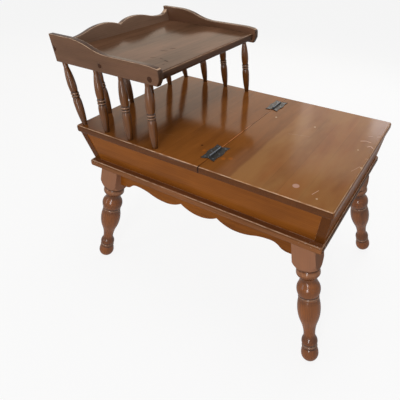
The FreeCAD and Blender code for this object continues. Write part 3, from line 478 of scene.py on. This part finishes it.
def lid_marks(place, base, roughness):
    """Pale drops, chips and scratches on the lid, and its paler outer planks."""
    face = upper_face(place, TOP_HEIGHT)
    cloud = noise(stretch(place, 15.0, 5.0, 9.0), 1.0, 3.0, 0.6)
    waver = noise(shift(place, 3.1, 1.7, 0.0), 6.0, 4.0, 0.62)
    outer = step(separate(place)[0] + (waver - 0.5) * 0.02, 0.124, 0.134, 0.12, 1.0) * face
    base = tint(base, OUTER_PLANKS, outer * line(cloud, 0.36, 0.58, 0.12, 0.68))
    base = spotted(place, base, PALE_DROP, 0.75, 0.0012, ((0.264, -0.185, 0.0072),))
    base = spotted(place, base, CHIP, 0.8, 0.0010, (
        (0.080, 0.092, 0.0026), (0.195, 0.092, 0.0024), (0.330, 0.032, 0.0020),
        (0.360, -0.044, 0.0024), (0.318, -0.205, 0.0020)))
    base = spotted(place, base, ORANGE_SPOT, 0.6, 0.003, (
        (0.076, -0.173, 0.005), (0.091, -0.164, 0.005)))
    scratches = scratches_along(place, face, (
        (0.0016, 1.0, (0.3216, 0.0795), (0.3334, 0.0871), (0.3473, 0.0850)),
        (0.0015, 0.9, (0.3447, 0.0580), (0.3508, 0.0667), (0.3618, 0.0559)),
        (0.0012, 0.7, (0.3322, 0.1157), (0.3417, 0.1216)),
        (0.0012, 0.7, (0.3519, 0.1236), (0.3609, 0.1311)),
        (0.0010, 0.7, (0.3581, -0.0013), (0.3644, 0.0063)),
        (0.0010, 0.7, (0.3040, -0.1960), (0.3110, -0.1760)),
        (0.0008, 0.5, (0.3450, -0.0700), (0.3560, -0.0400)),
        (0.0005, 0.3, (0.1500, 0.0200), (0.2050, 0.0340))))
    base = tint(base, LID_SCRATCH, scratches * 0.85)
    return along_seam(place, base), roughness + scratches * 0.2, scratches


def fixed_top_marks(place, base, roughness):
    """A dark chip, an orange spot and two faint scratches on the fixed top."""
    base = spotted(place, base, OLD_STAIN_AND_SHADE, 0.8, 0.0014, ((-0.0015, -0.147, 0.0030),))
    base = spotted(place, base, ORANGE_SPOT, 0.6, 0.002, ((0.017, -0.165, 0.004),))
    scratches = scratches_along(place, upper_face(place, TOP_HEIGHT), (
        (0.0005, 1.0, (-0.120, -0.150), (-0.090, -0.142)),
        (0.0005, 0.8, (-0.060, 0.060), (-0.020, 0.052))))
    base = tint(base, TOP_SCRATCH, scratches * 0.4)
    return along_seam(place, base), roughness + scratches * 0.2, scratches


def shelf_marks(place, base, roughness):
    """Short dark scratches on the shelf, and a darker front edge below its upper face."""
    scratches = scratches_along(place, upper_face(place, SHELF_HEIGHT), (
        (0.0020, 0.7, (-0.1862, -0.0469), (-0.1828, -0.0425)),
        (0.0020, 0.9, (-0.1712, -0.0719), (-0.1526, -0.0657)),
        (0.0022, 1.0, (-0.1604, -0.0480), (-0.1512, -0.0365)),
        (0.0018, 0.8, (-0.1528, -0.1292), (-0.1423, -0.1223)),
        (0.0018, 0.8, (-0.1301, -0.1216), (-0.1192, -0.1227)),
        (0.0022, 1.0, (-0.1109, -0.1280), (-0.0984, -0.1313)),
        (0.0018, 0.8, (-0.0955, -0.1536), (-0.0941, -0.1484))))
    base = tint(base, OLD_STAIN_AND_SHADE, scratches * 0.90)
    below = step(separate(place)[2], SHELF_HEIGHT - 0.0050, SHELF_HEIGHT - 0.0015, 1.0, 0.0)
    base = tint(base, OLD_STAIN_AND_SHADE, below * 0.45)
    return base, roughness + scratches * 0.15, scratches


def plate_marks(place, base, roughness):
    """A thin pale line on the plate along the box, and pale flecks towards its corners."""
    x, y, z = separate(place)
    level = step(z, PLATE_HEIGHT - 0.001, PLATE_HEIGHT)
    uneven = line(noise(place, 60.0, 3.0, 0.6), 0.40, 0.60, 0.15, 0.80)
    base = tint(base, PLATE_LINE, band(abs(y), BOX_HALF_WIDTH, 0.0006, 0.0017) * level * uneven)
    corner = step(abs(x), 0.28, 0.335) * step(abs(y), 0.13, 0.20) * level
    flecks = corner * step(noise(place, 310.0, 2.0, 0.5), 0.63, 0.69)
    base = tint(base, PLATE_FLECK, flecks * 0.6)
    return base, roughness + flecks * 0.2, flecks


# ---------------------------------------------------------------- boards

ALONG_X, ALONG_Y = (1, 0, 0), (0, 1, 0)
INSIDE = (MIDDLE, 0.0, 0.3)              # where a board's figure starts from, unless told
ON_TOP = (0.0, 0.0, TOP_HEIGHT)

# glue lines of the boards that are glued up, by x, and how much darker each next plank is
LID_PLANKS = ((0.128, -0.12), (0.206, 0.14), (0.240, -0.18), (0.288, 0.10))
FIXED_PLANKS = ((-0.232, 0.08), (-0.142, -0.10), (-0.062, 0.12))
SHELF_PLANKS = ((-0.320, 0.16), (-0.232, -0.20), (-0.145, 0.12))


def across(planks):
    """Glue lines in the frame of a grain that runs along Y, where its second axis is -X."""
    return [(-x, -change) for x, change in reversed(planks)]


def board(name, along, stain, varnish, seed, start=INSIDE, **more):
    """Finish one board with its own piece of the figure."""
    assign(name, maple(f"maple_{name}", along, start, stain, varnish, seed=seed, **more))


board("top_fixed", ALONG_Y, TOP_STAIN, TOP_VARNISH, 2.4, start=ON_TOP,
      planks=across(FIXED_PLANKS), figure=0.5, marks=fixed_top_marks)
board("lid", ALONG_Y, TOP_STAIN, TOP_VARNISH, 5.1, start=ON_TOP,
      planks=across(LID_PLANKS), figure=0.5, marks=lid_marks)
board("base_plate", ALONG_X, PLATE_STAIN, BOX_VARNISH, 7.7, marks=plate_marks, wear=0.8)
board("box_side_near", ALONG_X, BOX_STAIN, BOX_VARNISH, 9.2, squared=False)
board("box_side_far", ALONG_X, BOX_STAIN, BOX_VARNISH, 10.6, squared=False)
board("box_end_front", ALONG_Y, BOX_STAIN, BOX_VARNISH, 12.1)
board("box_end_back", ALONG_Y, BOX_STAIN, BOX_VARNISH, 13.9)
board("seam_rail", ALONG_Y, UNSTAINED, PLANED, 15.2)
board("lid_batten_near", ALONG_X, UNSTAINED, PLANED, 16.8)
board("lid_batten_far", ALONG_X, UNSTAINED, PLANED, 18.1)
board("apron_near", ALONG_X, BOX_STAIN, BOX_VARNISH, 19.5)
board("apron_far", ALONG_X, BOX_STAIN, BOX_VARNISH, 21.0)
board("apron_front", ALONG_Y, BOX_STAIN, BOX_VARNISH, 22.3)
board("apron_back", ALONG_Y, BOX_STAIN, BOX_VARNISH, 23.9)
board("gallery_side_near", ALONG_X, GALLERY_STAIN, GALLERY_VARNISH, 25.4, figure=0.6,
      dark_edge=0.45)
board("gallery_side_far", ALONG_X, GALLERY_STAIN, GALLERY_VARNISH, 26.9, figure=0.6,
      dark_edge=0.45)
# The back board takes the paler stain, painted light against its shade.
board("gallery_back", ALONG_Y, BACK_STAIN_WITH_PAINTED_LIGHT, GALLERY_VARNISH, 28.2, figure=0.6, dark_edge=0.45)
board("shelf_board", ALONG_Y, GALLERY_STAIN, SHELF_VARNISH, 29.6, start=ON_TOP,
      planks=across(SHELF_PLANKS), marks=shelf_marks, wear=0.35)
board("gallery_buttons_near", ALONG_Y, BUTTON_STAIN, BOX_VARNISH, 31.0, squared=False)
board("gallery_buttons_far", ALONG_Y, BUTTON_STAIN, BOX_VARNISH, 32.7, squared=False)


# ---------------------------------------------------------------- turnings

# Each band of a turning: how far up it is, how far it reaches, and how strong it is.
LEG = {
    "stain": LEG_STAIN,
    # Hollows: darker bands, old stain with painted shade; the first darkens the foot's lowest 9
    # mm.
    "hollows": ((0.0, 0.009, 0.7), (0.040, 0.005, 0.7), (0.050, 0.018, 0.35),
                (0.0505, 0.004, 0.75), (0.068, 0.014, 0.40), (0.186, 0.016, 0.35),
                (0.1945, 0.004, 0.80), (0.206, 0.016, 0.25), (0.243, 0.018, 0.60),
                (0.270, 0.007, 0.80)),
    # Crests: pale rings, painted highlights with rubbed wear.
    "crests": ((0.0455, 0.0028, 0.20), (0.1903, 0.0022, 0.22), (0.2605, 0.0060, 0.12)),
    "wear": 0.35,
    "turned_up_to": BLOCK_START,
}
SPINDLE = {
    "stain": SPINDLE_STAIN,
    # Hollows: the first band darkens each spindle's lowest 60 mm as painted shade; the others
    # are grooves, old stain with painted shade.
    "hollows": ((0.0, 0.060, 0.45), (0.0845, 0.0030, 0.8), (0.0912, 0.0024, 0.9),
                (0.0985, 0.0030, 0.8)),
    # Crests: pale rings on the beads, painted highlights with rubbed wear.
    "crests": ((0.0879, 0.0018, 0.26), (0.0949, 0.0018, 0.26)),
    "wear": 0.9,
}


def axis_of(name):
    """A turned piece's two end centres: the means of its lowest and its highest vertices."""
    mesh = nodes[name].data
    points = np.empty(len(mesh.vertices) * 3, np.float32)
    mesh.vertices.foreach_get("co", points)
    points = points.reshape(-1, 3)
    low, high = points[:, 2].min(), points[:, 2].max()
    reach = (high - low) * 0.02
    foot = points[points[:, 2] < low + reach].mean(0)
    head = points[points[:, 2] > high - reach].mean(0)
    return foot, head


for order, name in enumerate(sorted(nodes)):
    if name.startswith(("leg_front", "leg_back", "spindle")):
        foot, head = axis_of(name)
        turning = LEG if name.startswith("leg") else SPINDLE
        assign(name, maple(f"maple_{name}", Vector(head - foot), foot, varnish=LEG_VARNISH,
                           seed=40 + order * 1.37, squared=False, **turning))


# ---------------------------------------------------------------- metal

def black_iron():
    """Black paint on stamped steel: fine grain, rubbed grey on its edges, and a pale bluish line
    on the knuckles' crest, a painted highlight with rubbed paint.
    """
    finish = new_finish("black_iron")
    tree = finish.node_tree
    place = add(tree, "TexCoord", output="Object")
    cast = noise(place, 900.0, 3.0, 0.6)
    patch = noise(place, 160.0, 2.0)
    rubbed = step(edge_bend(tree, 0.0010), 0.04, 0.2) * step(patch, 0.42, 0.6)
    base = tint(colour(24, 23, 22), colour(48, 44, 40), line(cast, 0.3, 0.7))
    # painted highlight: a pale bluish line along the knuckles' crest, with rubbed paint
    crest = step(separate(place)[2], KNUCKLE_CREST - 0.001, KNUCKLE_CREST)
    rubbed = rubbed.math("MAXIMUM", crest * step(patch, 0.40, 0.55, 0.3, 1.0))
    base = tint(base, colour(142, 152, 164), rubbed * 0.7)
    roughness = line(patch, 0.3, 0.7, 0.34, 0.50)
    bump = add(tree, "Bump", {"Height": cast, "Strength": 0.25, "Distance": 0.0002})
    surface(tree, base, roughness, bump, Specular_IOR_Level=0.22)
    return finish


def screw_steel(name, light, dark):
    """Turned screw heads: brushed grain and a little tarnish."""
    finish = new_finish(name)
    tree = finish.node_tree
    place = add(tree, "TexCoord", output="Object")
    brushed = noise(stretch(place, 2400.0, 2400.0, 300.0), 1.0, 2.0)
    tarnish = noise(place, 260.0, 3.0)
    base = tint(light, dark, line(tarnish, 0.35, 0.65))
    roughness = line(brushed, 0.3, 0.7, 0.28, 0.42)
    bump = add(tree, "Bump", {"Height": brushed, "Strength": 0.15, "Distance": 0.0001})
    surface(tree, base, roughness, bump, Metallic=0.85)
    return finish


iron = black_iron()
black_screw = screw_steel("screw_black", colour(124, 130, 138), colour(58, 60, 64))
zinc_screw = screw_steel("screw_zinc", colour(190, 190, 192), colour(120, 118, 112))
for name in nodes:
    if name.startswith("hinge_screws"):
        assign(name, black_screw)
    elif name.startswith("hinge"):
        assign(name, iron)
    elif "screws" in name:
        assign(name, zinc_screw)


# ---------------------------------------------------------------- camera, floor and light

def make_camera():
    """The camera looks down on the table from its front near corner.

    Its own axes point to the right, up and back in the table's frame.
    """
    right = Vector((0.8635, 0.5040, 0.0165))
    up = Vector((-0.2954, 0.4790, 0.8266))
    back = Vector((0.4087, -0.7187, 0.5625))
    data = bpy.data.cameras.new("camera")
    data.sensor_width = 36.0
    data.lens = 35.19
    data.shift_x = -0.113
    data.shift_y = -0.0495
    data.clip_start = 0.01
    camera = bpy.data.objects.new("camera", data)
    turn = Matrix((right, up, back)).transposed().to_quaternion()
    camera.matrix_world = Matrix.LocRotScale((0.5017, -0.8169, 0.9323), turn, (1, 1, 1))
    bpy.context.scene.collection.objects.link(camera)
    bpy.context.scene.camera = camera


FLOOR_REACH = 12.0                       # from the middle to each side
FLOOR_TONE = 0.82
FLOOR_GLOW = 0.88                        # share of plain white that the camera sees in the floor
WHITE = (1.0, 1.0, 1.0)


def make_floor():
    """Pale floor that shows near white and keeps the table's shadow."""
    far = FLOOR_REACH
    mesh = bpy.data.meshes.new("floor")
    mesh.from_pydata([(-far, -far, 0), (far, -far, 0), (far, far, 0), (-far, far, 0)], [],
                     [(0, 1, 2, 3)])
    floor = bpy.data.objects.new("floor", mesh)
    bpy.context.scene.collection.objects.link(floor)
    finish = new_finish("floor")
    tree = finish.node_tree
    seen = add(tree, "LightPath", output="Is Camera Ray")
    mirrored = add(tree, "LightPath", output="Is Glossy Ray")
    matt = tree.nodes.new("ShaderNodeBsdfDiffuse")
    matt.inputs["Color"].default_value = (FLOOR_TONE, FLOOR_TONE, FLOOR_TONE, 1.0)
    glow = tree.nodes.new("ShaderNodeEmission")
    glow.inputs["Color"].default_value = (*WHITE, 1.0)
    share = (seen + mirrored).math("MINIMUM", 1.0) * FLOOR_GLOW
    mixed = tree.nodes.new("ShaderNodeMixShader")
    tree.links.new(share.socket, mixed.inputs[0])
    tree.links.new(matt.outputs[0], mixed.inputs[1])
    tree.links.new(glow.outputs[0], mixed.inputs[2])
    output = tree.nodes.new("ShaderNodeOutputMaterial")
    tree.links.new(mixed.outputs[0], output.inputs[0])
    mesh.materials.append(finish)


def make_lamp(name, place, target, width, height, power, tone):
    """Rectangular soft lamp that faces a target and isn't seen itself."""
    data = bpy.data.lights.new(name, "AREA")
    data.shape = "RECTANGLE"
    data.size = width
    data.size_y = height
    data.energy = power
    data.color = tone
    lamp = bpy.data.objects.new(name, data)
    way = Vector(target) - Vector(place)
    lamp.matrix_world = Matrix.LocRotScale(Vector(place), way.to_track_quat("-Z", "Y"),
                                           (1, 1, 1))
    lamp.visible_camera = False
    bpy.context.scene.collection.objects.link(lamp)


STUDIO_LEVEL = 0.26                      # how strongly the room's walls light the table
STUDIO_SLOPE = 0.08                      # and how much less so from the lid's end


def make_world():
    """Studio light, a little dimmer beyond the lid's end, and white where it is seen."""
    world = bpy.data.worlds.new("studio")
    bpy.context.scene.world = world
    world.use_nodes = True
    tree = world.node_tree
    tree.nodes.clear()
    seen = add(tree, "LightPath", output="Is Camera Ray")
    mirrored = add(tree, "LightPath", output="Is Glossy Ray")
    through = add(tree, "LightPath", output="Is Transmission Ray")
    shown = (seen + mirrored + through).math("MINIMUM", 1.0)
    background = tree.nodes.new("ShaderNodeBackground")
    background.inputs["Color"].default_value = (*WHITE, 1.0)
    towards = separate(add(tree, "TexCoord", output="Generated"))[0]
    level = line(towards, -1.0, 1.0, STUDIO_LEVEL + STUDIO_SLOPE, STUDIO_LEVEL - STUDIO_SLOPE)
    strength = level * (1.0 - shown) + shown
    tree.links.new(strength.socket, background.inputs["Strength"])
    output = tree.nodes.new("ShaderNodeOutputWorld")
    tree.links.new(background.outputs[0], output.inputs[0])


# Each lamp: name, place, the point it faces, width, height, power in watts, and tone.
LAMPS = (
    ("key", (0.7, -2.4, 0.90), (0, 0, 0.35), 0.35, 1.3, 27.0, WHITE),
    ("left", (-1.4, -2.1, 0.85), (0, 0, 0.35), 0.25, 1.2, 7.0, WHITE),
    ("right", (2.1, -1.3, 1.1), (0, 0, 0.35), 0.15, 0.4, 1.2, (0.80, 0.90, 1.0)),
    ("overhead", (0.1, 0.2, 2.6), (0, 0, 0.4), 1.2, 1.2, 17.0, WHITE),
    ("window", (-1.60, 2.0, 1.35), (-0.7, 0, 0.55), 2.1, 0.9, 11.0, (1.0, 0.82, 0.60)),
    ("middle window", (0.02, 2.0, 1.35), (0.1, 0, 0.55), 1.2, 0.9, 6.4, (1.0, 0.95, 0.92)),
    ("far window", (0.35, 2.0, 1.15), (0.2, 0, 0.5), 0.7, 0.5, 5.5, (0.86, 0.92, 1.0)),
)

make_camera()
make_floor()
make_world()
for lamp in LAMPS:
    make_lamp(*lamp)

bpy.context.scene.view_settings.view_transform = "Standard"
